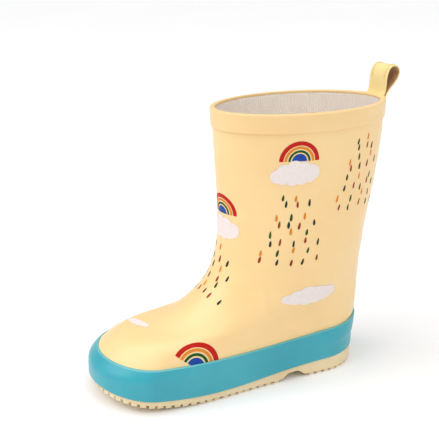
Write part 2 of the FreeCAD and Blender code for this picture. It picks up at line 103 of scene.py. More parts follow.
# row, front y, front z, back y, back z, half width, roundness, as shares of the sizes
STATIONS = np.array([
    (0.00, -0.527, 0.109, 0.443, 0.109, 0.965, 0.00),
    (0.10, -0.512, 0.148, 0.453, 0.150, 0.990, 0.02),
    (0.20, -0.438, 0.216, 0.474, 0.239, 0.920, 0.45),
    (0.32, -0.290, 0.248, 0.480, 0.330, 0.905, 0.85),
    (0.44, -0.132, 0.370, 0.484, 0.428, 0.915, 1.00),
    (0.55, -0.080, 0.514, 0.494, 0.538, 0.960, 1.00),
    (0.75, -0.083, 0.749, 0.534, 0.760, 0.985, 1.00),
    (1.00, -0.095, 0.983, 0.541, 0.988, 1.120, 1.00),
])
PLAN_WIDTH = np.array([(0.0, 0.98), (0.30, 1.0), (0.58, 0.85), (0.85, 0.83), (1.0, 0.83)])
TOE_SHARE = 0.15
HEEL_SHARE = 0.175
# the band's lower edge and its height in millimetres, against y as a share of the foot length
BAND_FOOT = np.array([(-0.53, 11.6), (-0.36, 7.6), (-0.20, 5.6), (-0.03, 6.0), (0.16, 8.8), (0.48, 10.4)])
BAND_TALL = np.array([(-0.53, 17.4), (-0.20, 22.2), (0.16, 20.6), (0.48, 22.2)])


def natural(knots, values):
    """Natural cubic spline through the values, as a function of an array."""
    count = len(knots)
    steps = np.diff(knots)
    matrix = np.zeros((count, count))
    right = np.zeros(count)
    matrix[0, :2] = 2, 1
    right[0] = 3 * (values[1] - values[0]) / steps[0]
    matrix[-1, -2:] = 1, 2
    right[-1] = 3 * (values[-1] - values[-2]) / steps[-1]
    for i in range(1, count - 1):
        matrix[i, i - 1:i + 2] = steps[i], 2 * (steps[i - 1] + steps[i]), steps[i - 1]
        before = (values[i] - values[i - 1]) / steps[i - 1]
        after = (values[i + 1] - values[i]) / steps[i]
        right[i] = 3 * (steps[i] * before + steps[i - 1] * after)
    leans = np.linalg.solve(matrix, right)

    def value_at(place):
        place = np.clip(place, knots[0], knots[-1])
        cell = np.clip(np.searchsorted(knots, place, side="right") - 1, 0, count - 2)
        span = steps[cell]
        t = (place - knots[cell]) / span
        keep = (1 + 2 * t) * (1 - t) ** 2 * values[cell] + t * t * (3 - 2 * t) * values[cell + 1]
        return keep + span * (t * (1 - t) ** 2 * leans[cell] - t * t * (1 - t) * leans[cell + 1])

    return value_at


SCALES = (FOOT_LENGTH, LEG_HEIGHT, FOOT_LENGTH, LEG_HEIGHT, BALL_WIDTH / 2, 1.0)
STATION_CURVES = [natural(STATIONS[:, 0], STATIONS[:, i + 1] * SCALES[i]) for i in range(6)]
plan_curve = natural(PLAN_WIDTH[:, 0], PLAN_WIDTH[:, 1])
band_low = natural(BAND_FOOT[:, 0] * FOOT_LENGTH, BAND_FOOT[:, 1])
band_tall = natural(BAND_TALL[:, 0] * FOOT_LENGTH, BAND_TALL[:, 1])
FEATHER_FRONT = STATIONS[0, 2] * LEG_HEIGHT
FEATHER_BACK = STATIONS[0, 4] * LEG_HEIGHT


def smooth(share):
    """Soft step from 0 to 1."""
    share = np.clip(share, 0.0, 1.0)
    return share * share * (3 - 2 * share)


def end_curve(share):
    """Quarter circle from 0 to 1, for the rounded ends of the foot plan."""
    return np.sqrt(np.maximum(0.0, 1 - (1 - np.clip(share, 0.0, 1.0)) ** 2))


def skin(row, angle):
    """Points on the outer face of the upper, in the design frame."""
    row, angle = np.broadcast_arrays(np.asarray(row, float), np.asarray(angle, float))
    front_y, front_z, back_y, back_z, half, oval = [each(row) for each in STATION_CURVES]
    share = 0.5 * (1 - np.cos(angle))
    plan = plan_curve(share) * end_curve(share / TOE_SHARE) * end_curve((1 - share) / HEEL_SHARE)
    wide = (1 - oval) * plan + oval * np.abs(np.sin(angle))
    x = half * wide * np.where(np.sin(angle) >= 0, 1.0, -1.0) - (1 - oval) * TOE_SKEW * (1 - share) ** 2
    y = front_y + (back_y - front_y) * share
    z = front_z + (back_z - front_z) * share
    feather = FEATHER_FRONT + (FEATHER_BACK - FEATHER_FRONT) * share
    lift = band_low(y) + SOLE_COVER + TURN_RADIUS - feather
    z = z + lift * np.maximum(0.0, 1 - row / 0.2) ** 2
    return np.stack([x, y, z], -1)


def unit(vectors):
    return vectors / np.linalg.norm(vectors, axis=-1, keepdims=True)


def wall_frame(row, angle):
    """Points, outward unit normals and upward unit tangents."""
    row, angle = np.broadcast_arrays(np.asarray(row, float), np.asarray(angle, float))
    low = np.clip(row - 0.004, 0.0, 1.0)
    high = np.clip(row + 0.004, 0.0, 1.0)
    up = unit(skin(high, angle) - skin(low, angle))
    along = skin(row, angle + 0.01) - skin(row, angle - 0.01)
    return skin(row, angle), unit(np.cross(along, up)), up


def wall(row, angle, offset):
    point, out, up = wall_frame(row, angle)
    return point + out * np.broadcast_to(offset, row.shape if np.ndim(row) else np.shape(angle))[..., None]


def flat_out(angle):
    """Level outward direction at the feather line."""
    out = wall_frame(np.zeros_like(angle), angle)[1].copy()
    out[..., 2] = 0
    return unit(out)


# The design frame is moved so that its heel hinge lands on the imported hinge.
heel_top, heel_out, heel_up = [each[0] for each in wall_frame(np.array([1.0]), np.array([math.pi]))]
loop_joint = [joint for joint in frame["joints"] if joint["name"] == "pull_loop_hinge"][0]
HINGE = np.array(loop_joint["pos_m"]) / MM
TAIL_MIDDLE = heel_top[1] + heel_out[1] * (BOND + TAIL_STRAP / 2 + LOOP_SET_BACK)
SHIFT = np.array([HINGE[0], HINGE[1] - TAIL_MIDDLE, 0.0])


# ---- mesh helpers ----
def mesh(name, points, faces, maps=None):
    """Object from points in millimetres of the design frame; maps holds u, v per point."""
    data = bpy.data.meshes.new(name)
    placed = (np.asarray(points, float) + SHIFT) * MM
    data.from_pydata(placed.tolist(), [], faces)
    if maps is not None:
        layer = data.uv_layers.new(name="wall")
        corners = np.empty(len(data.loops), np.int32)
        data.loops.foreach_get("vertex_index", corners)
        layer.data.foreach_set("uv", np.asarray(maps, np.float32)[corners].ravel())
    data.validate()
    data.update()
    data.shade_smooth()
    piece = bpy.data.objects.new(name, data)
    bpy.context.scene.collection.objects.link(piece)
    return piece


def grid_faces(rows, columns, close_rows, close_columns):
    """Four-sided faces between neighbouring rows of points."""
    faces = []
    for i in range(rows if close_rows else rows - 1):
        below = i * columns
        above = ((i + 1) % rows) * columns
        for j in range(columns if close_columns else columns - 1):
            k = (j + 1) % columns
            faces.append((below + j, below + k, above + k, above + j))
    return faces


def ring_mesh(name, rows):
    """Closed ring: the last row joins the first, and every row closes on itself."""
    grid = np.stack(rows)
    count, columns = grid.shape[:2]
    lengths = np.linalg.norm(np.diff(grid, axis=0), axis=2).mean(1)
    height = np.concatenate([[0], np.cumsum(lengths)])
    across = np.linspace(0, 1.0, columns, endpoint=False)
    maps = np.stack(np.broadcast_arrays(across[None, :], height[:, None]), -1).reshape(-1, 2)
    faces = grid_faces(count, columns, True, True)
    return mesh(name, grid.reshape(-1, 3), faces, maps)


def slab_mesh(name, rings):
    """Closed lump from rings of points, with the first and last ring closed by one point."""
    grid = np.stack(rings)
    count, columns = grid.shape[:2]
    points = np.concatenate([grid.reshape(-1, 3), [grid[0].mean(0)], [grid[-1].mean(0)]])
    faces = grid_faces(count, columns, False, True)
    first = count * columns
    for j in range(columns):
        k = (j + 1) % columns
        faces.append((first, k, j))
        faces.append((first + 1, (count - 1) * columns + j, (count - 1) * columns + k))
    return mesh(name, points, faces)


def joined(name, pieces):
    """Points and faces of many small closed lumps in one mesh, with a material number each."""
    points, faces, kinds = [], [], []
    start = 0
    for lump_points, lump_faces, kind in pieces:
        points.append(lump_points)
        faces += [tuple(start + i for i in face) for face in lump_faces]
        kinds += [kind] * len(lump_faces)
        start += len(lump_points)
    piece = mesh(name, np.concatenate(points), faces)
    piece.data.polygons.foreach_set("material_index", kinds)
    return piece


def orient(piece):
    """Turns all faces outward."""
    work = bmesh.new()
    work.from_mesh(piece.data)
    bmesh.ops.recalc_face_normals(work, faces=work.faces)
    work.to_mesh(piece.data)
    work.free()


def finish_piece(piece, body, slot, nodes, *materials):
    """Materials, body and the CAD nodes that the piece stands for; the slot argument is not used."""
    orient(piece)
    for material in materials:
        piece.data.materials.append(material)
    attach(piece, body)
    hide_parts(*nodes)


# ---- materials ----
class Nodes:
    """Small helper to wire a procedural material."""

    def __init__(self, name):
        self.material = bpy.data.materials.new(name)
        self.material.use_nodes = True
        self.tree = self.material.node_tree
        self.shader = self.tree.nodes["Principled BSDF"]

    def node(self, kind, **settings):
        made = self.tree.nodes.new(kind)
        for key, value in settings.items():
            setattr(made, key, value)
        return made

    def link(self, out, into):
        self.tree.links.new(out, into)

    def place(self):
        return self.node("ShaderNodeTexCoord").outputs["Object"]

    def noise(self, scale, detail=2.0, rough=0.5, vector=None):
        made = self.node("ShaderNodeTexNoise")
        made.inputs["Scale"].default_value = scale
        made.inputs["Detail"].default_value = detail
        made.inputs["Roughness"].default_value = rough
        self.link(vector if vector is not None else self.place(), made.inputs["Vector"])
        return made.outputs["Fac"]

    def ramp(self, value, stops):
        made = self.node("ShaderNodeValToRGB")
        made.color_ramp.elements.remove(made.color_ramp.elements[0])
        made.color_ramp.elements[0].position = stops[0][0]
        made.color_ramp.elements[0].color = colour(stops[0][1])
        for position, tint in stops[1:]:
            made.color_ramp.elements.new(position).color = colour(tint)
        self.link(value, made.inputs["Fac"])
        return made.outputs["Color"]

    def tinted(self, value, places, tints):
        """Base colour from three tints at three places along a value."""
        self.link(self.ramp(value, list(zip(places, tints))), self.shader.inputs["Base Color"])

    def rough(self, value, low, high):
        self.link(self.span(value, low, high), self.shader.inputs["Roughness"])

    def math(self, operation, first, second=0.0):
        made = self.node("ShaderNodeMath", operation=operation)
        for socket, value in zip(made.inputs, (first, second)):
            if isinstance(value, (int, float)):
                socket.default_value = value
            else:
                self.link(value, socket)
        return made.outputs[0]

    def span(self, value, low, high, value_low=0.0):
        made = self.node("ShaderNodeMapRange")
        made.inputs["From Min"].default_value = value_low
        made.inputs["To Min"].default_value = low
        made.inputs["To Max"].default_value = high
        self.link(value, made.inputs["Value"])
        return made.outputs["Result"]

    def bump(self, height, strength, distance, before=None):
        made = self.node("ShaderNodeBump")
        made.inputs["Strength"].default_value = strength
        made.inputs["Distance"].default_value = distance
        self.link(height, made.inputs["Height"])
        if before is not None:
            self.link(before, made.inputs["Normal"])
        return made.outputs["Normal"]

    def set(self, **values):
        for name, value in values.items():
            self.shader.inputs[name.replace("_", " ")].default_value = value


def linear(channel):
    channel = channel / 255
    return channel / 12.92 if channel <= 0.04045 else ((channel + 0.055) / 1.055) ** 2.4


def colour(tint):
    return tuple(linear(channel) for channel in tint) + (1.0,)


def rubber(name, tints, rough, grain=0.35, coat=0.15, glow=0.0):
    """Cured rubber: cloudy colour, uneven gloss and a fine skin texture."""
    n = Nodes(name)
    cloud = n.noise(22, 3, 0.55)
    n.tinted(cloud, (0.25, 0.5, 0.78), tints)
    gloss = n.noise(60, 4, 0.6)
    n.rough(gloss, rough - 0.05, rough + 0.07)
    waves = n.bump(n.noise(45, 2, 0.5), 0.12, 0.0008)
    fine = n.bump(n.noise(1400, 3, 0.6), grain * 0.25, 0.00012, waves)
    n.link(fine, n.shader.inputs["Normal"])
    n.set(IOR=1.5, Coat_Weight=coat, Coat_Roughness=0.22, Subsurface_Weight=glow)
    n.set(Subsurface_Radius=(0.9, 0.55, 0.25), Subsurface_Scale=0.0025)
    return n.material


def knit(name, tints, ribs, courses):
    """Ribbed knit lining: ribs run up the wall, fine courses run across them."""
    n = Nodes(name)
    split = n.node("ShaderNodeSeparateXYZ")
    uv = n.node("ShaderNodeUVMap", uv_map="wall").outputs["UV"]
    n.link(uv, split.inputs[0])
    wobble = n.math("MULTIPLY", n.noise(90, 2, 0.5), 0.004)
    across = n.math("ADD", split.outputs["X"], wobble)
    rib = n.math("SINE", n.math("MULTIPLY", across, TURN * ribs))
    course = n.math("SINE", n.math("MULTIPLY", split.outputs["Y"], courses))
    rib_share = n.span(rib, 0.0, 1.0, -1.0)
    course_share = n.span(course, 0.0, 1.0, -1.0)
    weave = n.math("MULTIPLY", rib_share, n.math("ADD", n.math("MULTIPLY", course_share, 0.45), 0.55))
    blotch = n.math("MULTIPLY", n.noise(160, 4, 0.65), 0.55)
    shade = n.math("ADD", n.math("MULTIPLY", weave, 0.45), blotch)
    n.tinted(shade, (0.12, 0.45, 0.8), tints)
    yarn = n.bump(weave, 0.8, 0.0005)
    fuzz = n.bump(n.noise(2200, 2, 0.6), 0.35, 0.0002, yarn)
    n.link(fuzz, n.shader.inputs["Normal"])
    n.rough(n.noise(300), 0.82, 0.98)
    n.set(Sheen_Weight=0.35, Sheen_Roughness=0.5, IOR=1.4)
    return n.material


def cloth(name, tints, scale):
    """Plain woven tape, cover or thread."""
    n = Nodes(name)
    weave = n.node("ShaderNodeTexWave", wave_type="BANDS", bands_direction="DIAGONAL")
    weave.inputs["Scale"].default_value = scale
    weave.inputs["Distortion"].default_value = 1.5
    n.link(n.place(), weave.inputs["Vector"])
    mixed = n.math("ADD", n.math("MULTIPLY", weave.outputs["Fac"], 0.5),
                   n.math("MULTIPLY", n.noise(220, 3), 0.5))
    n.tinted(mixed, (0.2, 0.5, 0.8), tints)
    n.link(n.bump(weave.outputs["Fac"], 0.6, 0.0003), n.shader.inputs["Normal"])
    n.rough(n.noise(400), 0.75, 0.95)
    n.set(Sheen_Weight=0.25, Sheen_Roughness=0.5)
    return n.material


def printed(name, tint, spread=10):
    """Printed ink film: thin, slightly mottled colour on the rubber's satin skin."""
    n = Nodes(name)
    darker = tuple(max(0, channel - spread) for channel in tint)
    lighter = tuple(min(255, channel + spread * 0.5) for channel in tint)
    n.tinted(n.noise(500, 4, 0.65), (0.3, 0.55, 0.8), (darker, tint, lighter))
    n.rough(n.noise(260, 3), 0.36, 0.5)
    n.link(n.bump(n.noise(900, 2), 0.1, 0.0001), n.shader.inputs["Normal"])
    n.set(IOR=1.45, Specular_IOR_Level=0.22)
    return n.material


def speckled(name, tints, rough, scale):
    """Cork compound, fibre board or foam."""
    n = Nodes(name)
    cells = n.node("ShaderNodeTexVoronoi")
    cells.inputs["Scale"].default_value = scale
    n.link(n.place(), cells.inputs["Vector"])
    mixed = n.math("ADD", n.math("MULTIPLY", cells.outputs["Distance"], 0.6),
                   n.math("MULTIPLY", n.noise(scale * 2, 3), 0.5))
    n.tinted(mixed, (0.2, 0.5, 0.8), tints)
    n.link(n.bump(cells.outputs["Distance"], 0.3, 0.0003), n.shader.inputs["Normal"])
    n.rough(n.noise(scale), rough - 0.08, rough + 0.08)
    return n.material


def brushed(name, tints):
    """Plain steel strip with fine lengthwise scratches."""
    n = Nodes(name)
    stretch = n.node("ShaderNodeMapping")
    stretch.inputs["Scale"].default_value = (30, 1, 30)
    n.link(n.place(), stretch.inputs["Vector"])
    grain = n.noise(60, 4, 0.7, stretch.outputs["Vector"])
    n.tinted(grain, (0.2, 0.5, 0.8), tints)
    n.rough(grain, 0.25, 0.45)
    n.link(n.bump(grain, 0.2, 0.0001), n.shader.inputs["Normal"])
    n.set(Metallic=1.0)
    return n.material


YELLOW = ((245, 205, 144), (248, 211, 150), (250, 216, 158))
yellow_rubber = rubber("yellow_rubber", YELLOW, 0.36, glow=0.12)
collar_rubber = rubber("collar_rubber", ((243, 202, 141), (246, 208, 148), (249, 213, 155)), 0.38, glow=0.12)
turquoise_rubber = rubber("turquoise_rubber", ((34, 150, 168), (44, 160, 176), (58, 172, 186)), 0.34)
# lighter turquoise for the band's rounded top edge: a painted highlight where the edge catches the light
turquoise_painted_highlight = rubber("turquoise_painted_highlight", ((84, 170, 176), (96, 180, 184), (110, 190, 192)), 0.4)
cream_rubber = rubber("cream_rubber", ((232, 206, 158), (240, 216, 172), (248, 228, 190)), 0.5,
                      grain=0.8, coat=0.05)
ply_rubber = rubber("ply_rubber", ((190, 165, 120), (204, 180, 134), (214, 192, 148)), 0.6,
                    grain=0.9, coat=0.0)
loop_face = rubber("loop_face", ((246, 214, 140), (251, 222, 152), (254, 230, 164)), 0.4, glow=0.12)
# tan cloth for the strap's back, darker than the face: partly the cloth's own colour, partly painted shade
# inside the loop
loop_back_cloth_and_shade = cloth("loop_back_cloth_and_shade", ((186, 138, 92), (204, 158, 110), (220, 178, 130)), 900)
lining_knit = knit("lining_knit", ((246, 230, 216), (254, 243, 231), (255, 250, 243)), 210, 5.5)
tape_cloth = cloth("tape_cloth", ((214, 198, 184), (230, 216, 204), (242, 232, 222)), 1200)
thread_cloth = cloth("thread_cloth", ((214, 186, 126), (232, 208, 152), (244, 226, 178)), 3000)
cover_cloth = cloth("cover_cloth", ((204, 190, 178), (222, 210, 198), (236, 226, 216)), 1500)
foam = speckled("foam", ((224, 220, 210), (236, 233, 224), (245, 243, 236)), 0.8, 900)
fibre = speckled("fibre", ((150, 124, 90), (176, 150, 112), (196, 172, 134)), 0.85, 700)
cork = speckled("cork", ((130, 96, 60), (166, 128, 84), (190, 154, 108)), 0.85, 420)
steel = brushed("steel", ((120, 122, 126), (150, 152, 156), (180, 182, 186)))

# ---- upper ----
OUTER_COLUMNS = 360
AROUND = np.linspace(0, TURN, OUTER_COLUMNS, endpoint=False)


def away_from_toe(angle):
    """Angle from the toe line, the same on both sides, in degrees."""
    return np.degrees(np.abs((angle + math.pi) % TURN - math.pi))


def relief(row, angle):
    """Height of the sheet's own shape over the last: ply step, seam swell, hand-laid waves."""
    turn = away_from_toe(angle)
    ply_edge = 51 + (0.487 - row) * 189
    fade = smooth((0.52 - row) / 0.07)
    step = smooth((ply_edge - turn) / 1.8) * fade
    bead = np.exp(-((ply_edge - turn - 0.9) / 1.3) ** 2) * fade
    waves = 0.10 * np.sin(3 * angle + 21 * row) * np.sin(9 * row + 1.3)
    waves = waves + 0.07 * np.sin(7 * angle - 34 * row) + 0.05 * np.sin(11 * angle + 60 * row)
    seam = 0.35 * np.exp(-((turn - 180) / 9.0) ** 2)
    crease = -0.35 * np.exp(-((row - 0.445) / 0.03) ** 2) * np.exp(-(turn / 34.0) ** 2)
    return 0.3 * step + 0.22 * bead + waves * smooth((1 - row) / 0.1) + seam + crease


def upper_rows(offset, levels):
    return [wall(np.full_like(AROUND, level), AROUND, offset(level)) for level in levels]


def bend_rows(offset):
    """The bend under the foot and the turned-in margin, from the wall inward."""
    radius = TURN_RADIUS + offset
    start = skin(np.zeros_like(AROUND), AROUND)
    out = flat_out(AROUND)
    rows = []
    for degrees, margin in ((30, 0.0), (60, 0.0), (90, 0.0), (90, 4.0), (90, 8.0)):
        bend = math.radians(degrees)
        reach = TURN_RADIUS - radius * math.cos(bend) + margin
        point = start - out * reach
        point[:, 2] += band_low(point[:, 1]) - band_low(start[:, 1]) - radius * math.sin(bend)
        rows.append(point)
    return rows


def build_upper():
    levels = np.concatenate([np.linspace(0.0, 0.1, 8)[1:], np.linspace(0.1, 0.997, 190)[1:]])
    inner_levels = np.linspace(0.997, 0.02, 60)
    start = skin(np.zeros_like(AROUND), AROUND)
    out = flat_out(AROUND)
    rows = bend_rows(-SHEET)[::-1][:1] + bend_rows(0.0)[::-1] + [start]
    rows += upper_rows(lambda level: relief(level, AROUND) * smooth(level / 0.08), levels)
    rows += upper_rows(lambda level: -SHEET, inner_levels)
    rows += [start - out * SHEET] + bend_rows(-SHEET)[:-1]
    piece = ring_mesh("upper_sheet_skin", rows)
    finish_piece(piece, "boot", "upper_rubber", ["upper_sheet"], yellow_rubber)


build_upper()


# ---- strip over the back seam ----
def build_back_strip():
    low, high = 0.142, 0.923
    rows = []
    levels = np.linspace(low, high, 90)
    near = skin(levels, np.full_like(levels, math.pi - 0.05))
    far = skin(levels, np.full_like(levels, math.pi + 0.05))
    per_mm = 0.1 / np.linalg.norm(near - far, axis=1)
    profile = [(-1, 0.0), (-1, 0.45), (-0.9, 0.8), (-0.6, 1.0), (-0.2, 1.06), (0.2, 1.06), (0.6, 1.0),
               (0.9, 0.8), (1, 0.45), (1, 0.0), (0.5, 0.0), (0, 0.0), (-0.5, 0.0)]
    for side, lift in profile:
        angle = math.pi + side * STRIP_WIDTH / 2 * per_mm
        rows.append(wall(levels, angle, relief(levels, angle) + 0.04 + lift * STRIP))
    rings = np.stack(rows, 1)
    piece = slab_mesh("back_seam_strip", list(rings))
    finish_piece(piece, "boot", "collar_rubber", ["back_strip"], collar_rubber)


build_back_strip()


# ---- foxing band ----
def band_point(angle, height, offset):
    """Point at a height of the band: on the wall above the feather line, straight below it."""
    start = skin(np.zeros_like(angle), angle)
    low = np.zeros_like(angle)
    high = np.full_like(angle, 0.45)
    for _ in range(22):
        middle = (low + high) / 2
        short = skin(middle, angle)[..., 2] < height
        low = np.where(short, middle, low)
        high = np.where(short, high, middle)
    row = (low + high) / 2
    point, out, up = wall_frame(row, angle)
    out = out.copy()
    out[..., 2] = 0
    out = unit(out)
    under = (height < start[..., 2])[..., None]
    base = np.where(under, start, point)
    level = np.where(under, flat_out(angle), out)
    fade = smooth((height - start[..., 2] + 3) / 8)[..., None]
    level = unit(level * fade + flat_out(angle) * (1 - fade))
    placed = base + level * np.broadcast_to(offset, angle.shape)[..., None]
    placed[..., 2] = height
    return placed


def band_depth(share):
    """The band is pressed thinner towards its top edge."""
    return FOXING * (0.64 + 0.36 * smooth((1 - share) / 0.7))


def heel_press(angle):
    """The band is pressed thinner where its ends lap at the heel."""
    return 1 - 0.3 * smooth((away_from_toe(angle) - 125) / 45)


def band_rows(profile, angle, front):
    """Rows of a strip's cross-section: share of the height, millimetres added, depth."""
    y = skin(np.zeros_like(angle), angle)[..., 1]
    low = band_low(y)
    tall = band_tall(y)
    press = heel_press(angle)
    return [band_point(angle, low + tall * share + lift, front + depth * press)
            for share, lift, depth in profile]


def rolled(count, radius, turn_from, turn_to, lift, depth, share):
    """Rounded corner of a strip's cross-section."""
    corner = []
    for i in range(count + 1):
        turn = math.radians(turn_from + (turn_to - turn_from) * i / count)
        corner.append((share, lift + radius * math.sin(turn), depth + radius * math.cos(turn)))
    return corner


def build_foxing():
    columns = np.linspace(0, TURN, 480, endpoint=False)
    top, bottom = 0.7, 1.5
    profile = rolled(5, bottom, -90, 0, bottom, FOXING - bottom, 0.0)
    profile += [(share, 0.0, band_depth(share)) for share in np.linspace(0.12, 0.9, 14)]
    profile += rolled(5, top, 0, 90, -top, band_depth(1.0) - top, 1.0)
    profile += [(1.0, 0.0, 0.3), (1.0, -0.3, 0.0)]
    profile += [(share, 0.0, 0.0) for share in np.linspace(0.9, 0.1, 9)]
    profile += [(0.0, 0.3, 0.0), (0.0, 0.0, 0.3)]
    rows = band_rows(profile, columns, BOND)
    piece = ring_mesh("foxing_band_skin", rows)
    finish_piece(piece, "boot", "foxing_rubber", ["foxing_band"], turquoise_rubber, turquoise_painted_highlight)
    kinds = np.zeros(len(piece.data.polygons), np.int32)
    for row in range(21, 27):      # the rows round the band's top edge, which get the lighter turquoise as a painted highlight
        kinds[row * len(columns):(row + 1) * len(columns)] = 1
    piece.data.polygons.foreach_set("material_index", kinds)


build_foxing()


def build_heel_patch():
    half = math.radians(14.5)
    thick = 0.45
    across = np.concatenate([[-1, -0.985, -0.95], np.linspace(-0.9, 0.9, 25), [0.95, 0.985, 1]])
    angle = math.pi + across * half
    edge = smooth((1 - np.abs(across)) / 0.05)
    shares = np.concatenate([[0.09, 0.1, 0.12], np.linspace(0.16, 0.86, 12), [0.9, 0.92, 0.93]])
    up_edge = smooth(np.minimum(shares - 0.09, 0.93 - shares) / 0.035)
    y = skin(np.zeros_like(angle), angle)[:, 1]
    low, tall = band_low(y), band_tall(y)
    face, back = [], []
    for share, rise in zip(shares, up_edge):
        height = low + tall * share
        base = BOND + band_depth(share) * heel_press(angle)
        face.append(band_point(angle, height, base + thick * edge * rise))
        back.append(band_point(angle, height, base - 0.06))
    grid = np.stack([np.concatenate([a, b[::-1]]) for a, b in zip(face, back)])
    piece = slab_mesh("foxing_lap_patch", list(grid))
    finish_piece(piece, "boot", "foxing_rubber", ["foxing_heel_patch"], turquoise_rubber)


build_heel_patch()


# ---- collar band ----
RIM = STATIONS[-1]
back_radius = (BALL_WIDTH / 2 * RIM[5]) ** 2 / ((RIM[3] - RIM[1]) * FOOT_LENGTH / 2)
TAIL_ANGLE = (LOOP_WIDTH / 2) / back_radius * 0.72
COLLAR_LOW = 1.0 - COLLAR_HEIGHT / (heel_up[2] * LEG_HEIGHT * 1.02)


def bulge(angle):
    away = np.abs(angle - math.pi)
    return (TAIL_STRAP + BOND) * smooth((TAIL_ANGLE * 1.75 - away) / (TAIL_ANGLE * 0.75))


def collar_point(level, offset, lift):
    point, out, up = wall_frame(np.full_like(AROUND, level), AROUND)
    return point + out * np.broadcast_to(offset, AROUND.shape)[:, None] + up * lift


def build_collar():
    swell = bulge(AROUND)
    inside = -SHEET - BOND - LINING - CAP_INSIDE
    rows = []
    for i in range(5):
        turn = math.radians(-90 + 18 * i)
        rows.append(collar_point(COLLAR_LOW, BOND + swell + COLLAR - 0.5 + 0.5 * math.cos(turn),
                                 0.5 + 0.5 * math.sin(turn)))
    for level in np.linspace(COLLAR_LOW + 0.006, 0.995, 16):
        sag = 0.08 * np.sin(4 * AROUND + 2) * math.sin(math.pi * (level - COLLAR_LOW) / (1 - COLLAR_LOW))
        rows.append(collar_point(level, BOND + swell + COLLAR + sag, 0.0))
    half = (BOND + COLLAR - inside) / 2
    middle = (BOND + COLLAR + inside) / 2
    for i in range(13):
        turn = math.radians(180 * i / 12)
        away = half * math.copysign(abs(math.cos(turn)) ** 0.6, math.cos(turn))
        rows.append(collar_point(1.0, middle + away + swell * (1 + math.cos(turn)) / 2,
                                 0.1 + (CAP_HEIGHT - 0.1) * math.sin(turn) ** 0.7))
    rows.append(collar_point(1.0, inside, -0.8))
    rows.append(collar_point(1.0, inside + 0.15, -1.1))
    rows.append(collar_point(1.0, inside + 0.5, -0.9))
    rows.append(collar_point(1.0, inside + 0.6, 0.02))
    rows.append(collar_point(1.0, BOND + swell * 0.9, 0.05))
    for level in np.linspace(0.99, COLLAR_LOW + 0.004, 8):
        rows.append(collar_point(level, BOND + swell, 0.0))
    piece = ring_mesh("collar_band_skin", rows)
    finish_piece(piece, "boot", "collar_rubber", ["collar_band"], collar_rubber)


build_collar()


# ---- linings ----
LEG_FACE = -SHEET - BOND
FOOT_FACE = LEG_FACE - PUFF - BOND - PLY - BOND


def lining_face(row):
    return LEG_FACE + (FOOT_FACE - LEG_FACE) * smooth((0.53 - row) / 0.09)


def build_lining(name, low, high, levels, node):
    puckers = 0.12 * np.sin(17 * AROUND) + 0.08 * np.sin(29 * AROUND + 1)
    places = np.linspace(low, high, levels)
    rows = []
    for level in places:
        ease = smooth((level - low) / 0.01) * smooth((high - level) / 0.01)
        ripple = puckers * math.sin(40 * level) * 0.5
        inside = lining_face(level) - LINING + (ripple - 0.1) * ease
        rows.append(wall(np.full_like(AROUND, level), AROUND, inside))
    for level in places[::-1]:
        rows.append(wall(np.full_like(AROUND, level), AROUND, lining_face(level) - 0.05))
    piece = ring_mesh(name, rows)
    finish_piece(piece, "boot", "lining_knit", [node], lining_knit)


build_lining("leg_lining_knit", SEAM_ROW + 0.0012, 0.996, 80, "leg_lining")
build_lining("foot_lining_knit", 0.0, SEAM_ROW - 0.0012, 90, "foot_lining")


# ---- footbed: loose foam with a cloth cover ----
BOARD_TOP = SHEET + BOND + BOARD
FOOTBED_INSET = FOOT_FACE - LINING - FOOTBED_PLAY


def footbed_ring(share, inset, rise):
    """Ring round the foot plan: a share of the way out from the middle, at a height over the sole."""
    edge = (skin(np.zeros_like(AROUND), AROUND) + flat_out(AROUND) * (FOOTBED_INSET - inset))[:, :2]
    centre = edge.mean(0)
    flat = centre + (edge - centre) * share
    cup = 0.9 * np.exp(-((flat[:, 0] - centre[0]) / 15) ** 2 - ((flat[:, 1] - 58) / 26) ** 2)
    cup = cup + 0.5 * np.exp(-((flat[:, 0] - centre[0]) / 20) ** 2 - ((flat[:, 1] + 50) / 24) ** 2)
    sole = band_low(flat[:, 1]) + SOLE_COVER + BOARD_TOP + BOND
    return np.column_stack([flat, sole + rise[0] - cup * rise[1]])


def build_footbed_layer(name, low, high, dips, slot, node, material):
    """Sheet between two heights over the board; dips say how much of the cup each face follows."""
    inner = np.linspace(0.03, 0.97, 22)
    rings = [footbed_ring(share, 0.0, (low, dips[0])) for share in inner]
    rings.append(footbed_ring(1.0, 0.35, (low, 0.0)))
    rings.append(footbed_ring(1.0, 0.0, (low + 0.25 * (high - low), 0.0)))
    rings.append(footbed_ring(1.0, 0.0, (low + 0.7 * (high - low), 0.0)))
    rings.append(footbed_ring(1.0, 0.25, (high - 0.1 * (high - low), 0.0)))
    rings.append(footbed_ring(1.0, 0.8, (high, 0.0)))
    rings += [footbed_ring(share, 0.0, (high, dips[1])) for share in inner[::-1]]
    piece = slab_mesh(name, rings)
    finish_piece(piece, "footbed", slot, [node], material)
    return piece


foam_piece = build_footbed_layer("footbed_foam_pad", 0.0, FOAM_THICK, (0.0, 1.0),
                                 "footbed_eva", "footbed_foam", foam)
build_footbed_layer("footbed_cloth_cover", FOAM_THICK + 0.04, FOAM_THICK + COVER_THICK, (1.0, 1.0),
                    "footbed_cloth", "footbed_cover", cover_cloth)


# ---- prints: thin ink films lying on the sheet ----
INK_THICK = 0.05


def across_frame(row, angle):
    """How far one unit of row and one of angle move along the wall."""
    up = (skin(row + 0.003, angle) - skin(row - 0.003, angle)) / 0.006
    side = (skin(row, angle + 0.01) - skin(row, angle - 0.01)) / 0.02
    return up, side


